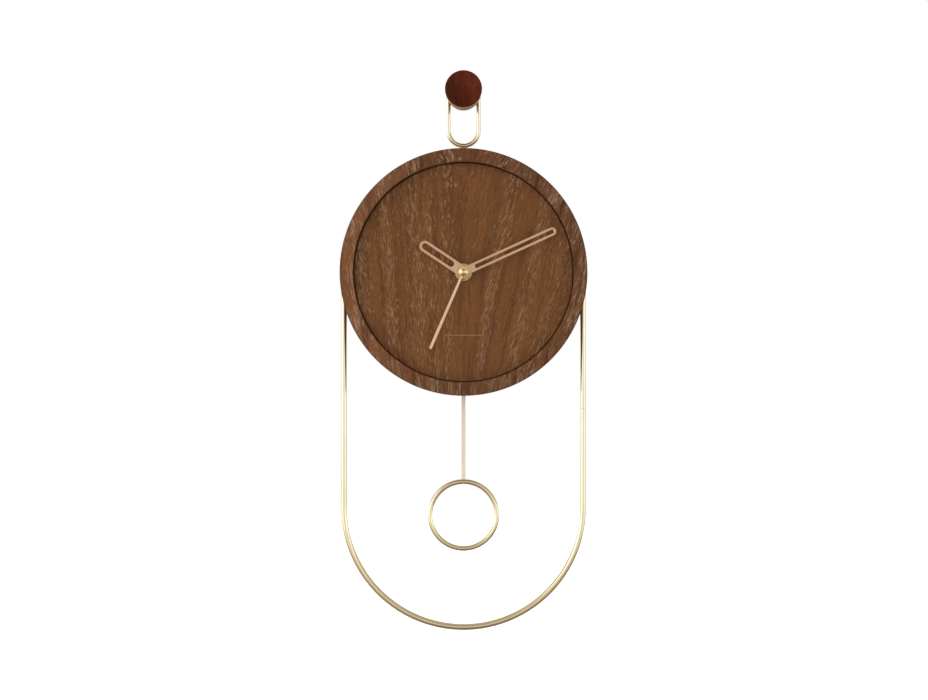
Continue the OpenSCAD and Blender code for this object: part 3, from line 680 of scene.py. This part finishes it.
# A plus sign: its middle, the length of an arm and half the stroke's width.
plus_x, plus_y, arm, stroke = 21.9, -10.1, 1.7, 0.4
add_moulding("cover_plus", [(plus_x + a, plus_y + b) for a, b in (
    (arm, -stroke), (arm, stroke), (stroke, stroke), (stroke, arm), (-stroke, arm), (-stroke, stroke),
    (-arm, stroke), (-arm, -stroke), (-stroke, -stroke), (-stroke, -arm), (stroke, -arm), (stroke, -stroke))])
for name, centre in (("tail_rib_left", -15.2), ("tail_rib_right", 15.2)):
    add_moulding(name, rounded_box(centre - 0.5, -68.5, centre + 0.5, -33.0, 0.45))

# ------------------------------------------------------------ camera, lights

CAMERA_DISTANCE = 1.65
CAMERA_HEIGHT = -0.211

camera_data = bpy.data.cameras.new("camera")
camera_data.sensor_width = 36
camera_data.lens = 79.4
camera = bpy.data.objects.new("camera", camera_data)
camera.location = (0.0004, CASE_FRONT - CAMERA_DISTANCE, CAMERA_HEIGHT)
camera.rotation_euler = (math.pi / 2, 0, 0)
bpy.context.collection.objects.link(camera)
bpy.context.scene.camera = camera

LIGHT_AIM = Vector((0, -0.02, -0.2))


def softbox(name, place, width, height, power, mirrored=True):
    """Soft panel of light aimed at the clock, which polished parts mirror or not."""
    data = bpy.data.lights.new(name, "AREA")
    data.shape = "RECTANGLE"
    data.size = width
    data.size_y = height
    data.energy = power
    lamp = bpy.data.objects.new(name, data)
    lamp.location = place
    lamp.rotation_euler = (LIGHT_AIM - Vector(place)).to_track_quat("-Z", "Y").to_euler()
    lamp.visible_glossy = mirrored
    bpy.context.collection.objects.link(lamp)


softbox("key_left", (-1.7, -1.2, 0.5), 1.0, 1.4, 5)
softbox("fill_front", (-0.4, -2.2, 0.1), 1.8, 1.8, 7, mirrored=False)
softbox("bounce_low", (0.0, -0.9, -1.7), 1.8, 1.2, 18, mirrored=False)


# Brightness of the studio, from straight in front (0) round to straight behind (1).
AROUND = [(0.0, 0.60), (0.05, 0.58), (0.14, 0.80), (0.24, 1.0), (0.45, 1.0), (0.60, 0.55), (0.80, 0.60),
          (0.90, 0.90)]
# The same from straight down (0) to straight up (1).
UPWARD = [(0.0, (0.22, 0.17, 0.12)), (0.10, (0.26, 0.20, 0.14)), (0.28, (0.36, 0.28, 0.20)),
          (0.42, (0.86, 0.80, 0.70)), (0.50, 1.0), (0.56, 0.96), (0.68, (0.52, 0.43, 0.32)),
          (0.88, (0.46, 0.38, 0.28)), (1.0, (0.60, 0.54, 0.44))]
SIDE_BIAS = 0.12
STUDIO_LEVEL = 1.4


def studio():
    """White backdrop, with a soft panorama that lights the object: bright sides, dim front, dark below."""
    world = bpy.data.worlds.new("studio")
    world.use_nodes = True
    tree = world.node_tree
    tree.nodes.clear()

    s = Nodes(tree)
    x, y, z = s.split(s.node("ShaderNodeTexCoord").outputs["Generated"])
    turn = s.maths("ARCTAN2", s.maths("ABSOLUTE", x), s.maths("MULTIPLY", y, -1))
    around = s.maths("DIVIDE", turn, math.pi)
    band = s.ramp(around, AROUND, smooth=True)
    height = s.ramp(s.maths("MULTIPLY_ADD", z, 0.5, 0.5), UPWARD, smooth=True)
    side = s.maths("MULTIPLY_ADD", x, -SIDE_BIAS * STUDIO_LEVEL, STUDIO_LEVEL)
    light = band
    for factor in (height, side):
        product = s.node("ShaderNodeVectorMath", operation="MULTIPLY")
        s.join(light, product.inputs[0])
        s.join(factor, product.inputs[1])
        light = product.outputs[0]
    room = s.node("ShaderNodeBackground")
    s.join(light, room.inputs["Color"])
    seen = s.node("ShaderNodeBackground")
    seen.inputs["Color"].default_value = (1, 1, 1, 1)
    swap = s.node("ShaderNodeMixShader")
    s.join(s.node("ShaderNodeLightPath").outputs["Is Camera Ray"], swap.inputs[0])
    s.join(room.outputs[0], swap.inputs[1])
    s.join(seen.outputs[0], swap.inputs[2])
    s.join(swap.outputs[0], s.node("ShaderNodeOutputWorld").inputs["Surface"])
    return world


bpy.context.scene.world = studio()

FLOOR_DROP = 0.35
FLOOR_HALF = 6.0
floor_mesh = bpy.data.meshes.new("floor")
level = cad_box[0][2] - FLOOR_DROP
corners = [(-1, -1), (1, -1), (1, 1), (-1, 1)]
floor_mesh.from_pydata([(x * FLOOR_HALF, y * FLOOR_HALF, level) for x, y in corners], [], [(0, 1, 2, 3)])
floor = bpy.data.objects.new("floor", floor_mesh)
bpy.context.collection.objects.link(floor)
floor_shader = Shader("floor_paint")
floor_mesh.materials.append(floor_shader.finish((0.95, 0.95, 0.95), 0.6, Emission_Color=(1, 1, 1, 1),
                                                Emission_Strength=0.8))
floor.visible_glossy = False
floor.visible_diffuse = False

bpy.context.scene.view_settings.view_transform = "Standard"
